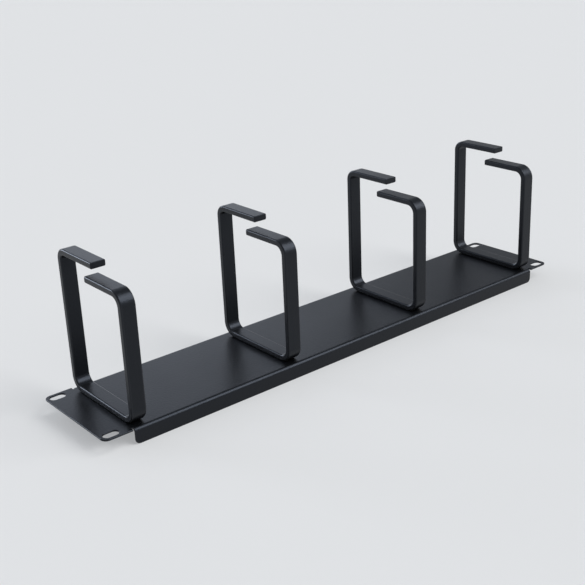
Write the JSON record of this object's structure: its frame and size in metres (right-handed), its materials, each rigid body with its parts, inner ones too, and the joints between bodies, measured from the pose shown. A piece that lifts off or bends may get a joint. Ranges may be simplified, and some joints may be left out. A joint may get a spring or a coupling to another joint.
{
  "type": "horizontal cable manager",
  "caption": "Horizontal rack cable manager: a folded panel with slotted ears and a row of open rings, each bent from flat bar, that hold cables along its face.",
  "frame": {"origin": "under the middle of the panel, in the plane of the flanges' free edges", "axes": "+X along the panel towards the right ear, +Y across it towards the posts with the higher arms, +Z out of the panel's face along the rings' posts"},
  "size_m": [0.4826, 0.0882, 0.1249],
  "materials": {
    "black_powder_coat": "satin black powder coat with a fine orange peel"
  },
  "bodies": {
    "root": {"panel": "black_powder_coat", "cable_ring_1": "black_powder_coat", "cable_ring_2": "black_powder_coat", "cable_ring_3": "black_powder_coat", "cable_ring_4": "black_powder_coat"}
  },
  "joints": []
}
